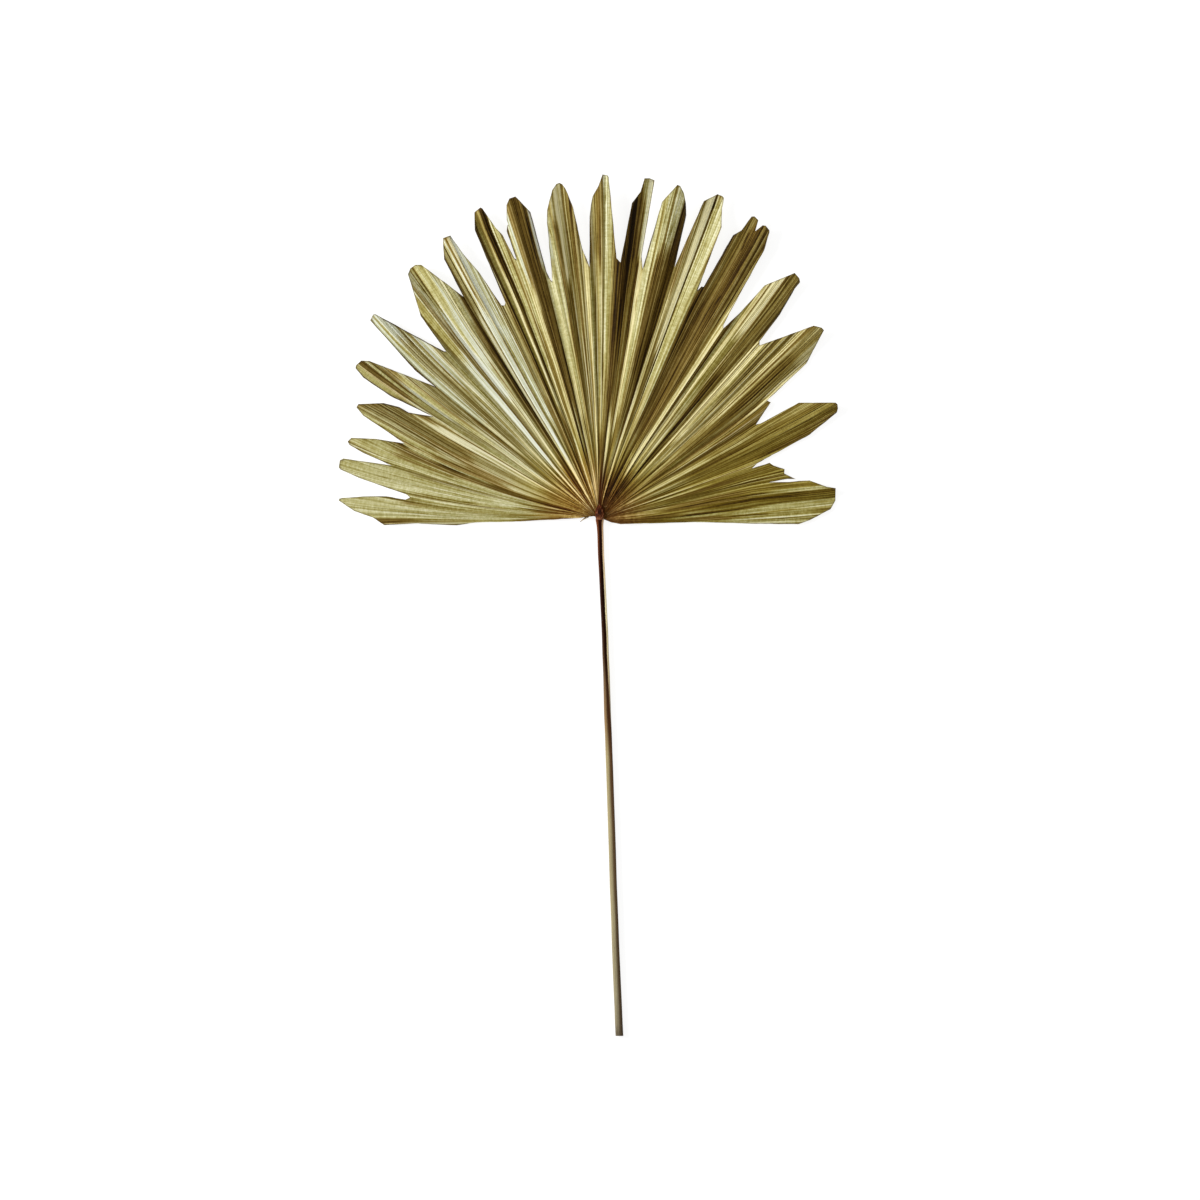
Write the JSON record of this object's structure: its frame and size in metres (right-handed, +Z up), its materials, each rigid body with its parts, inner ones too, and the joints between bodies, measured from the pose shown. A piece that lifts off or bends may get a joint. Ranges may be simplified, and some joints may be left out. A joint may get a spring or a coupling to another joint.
{
  "type": "dried fan palm frond",
  "caption": "Dried pleated fan palm leaf, its rim split into pointed segments, on a long slim cut stalk that lies flat.",
  "frame": {"origin": "middle of the frond's outline seen from above, on the surface it lies on", "axes": "+Y along the stalk from its cut end toward the fan, +X to the right with the upper face of the leaf looking up, +Z up"},
  "size_m": [0.3492, 0.6026, 0.0133],
  "materials": {
    "blade": "satin",
    "stalk": "satin",
    "hastula": "satin"
  },
  "bodies": {
    "root": {"leaf_blade": "blade", "petiole": "stalk", "hastula": "hastula"}
  },
  "joints": []
}
